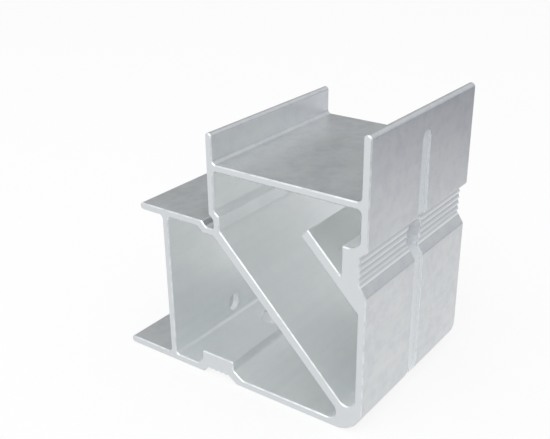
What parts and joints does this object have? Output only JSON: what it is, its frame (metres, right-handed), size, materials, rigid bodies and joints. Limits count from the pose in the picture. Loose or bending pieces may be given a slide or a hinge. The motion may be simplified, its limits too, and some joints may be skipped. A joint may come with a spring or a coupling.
{
  "type": "corner connector",
  "caption": "L-shaped aluminium corner connector with hollow arms that slide into mitred frame bars, a diagonal brace, serrated pressing recesses, pin holes and a glue channel.",
  "frame": {"origin": "middle of the outline box's underside, which is the foot's outer face", "axes": "+Z along the upright arm, +X towards the upright's outer face, +Y along the extrusion"},
  "size_m": [0.08, 0.054, 0.08],
  "materials": {
    "mill_aluminium": "mill finish with fine die lines along the extrusion, sawn ends"
  },
  "bodies": {
    "root": {"connector": "mill_aluminium"}
  },
  "joints": []
}
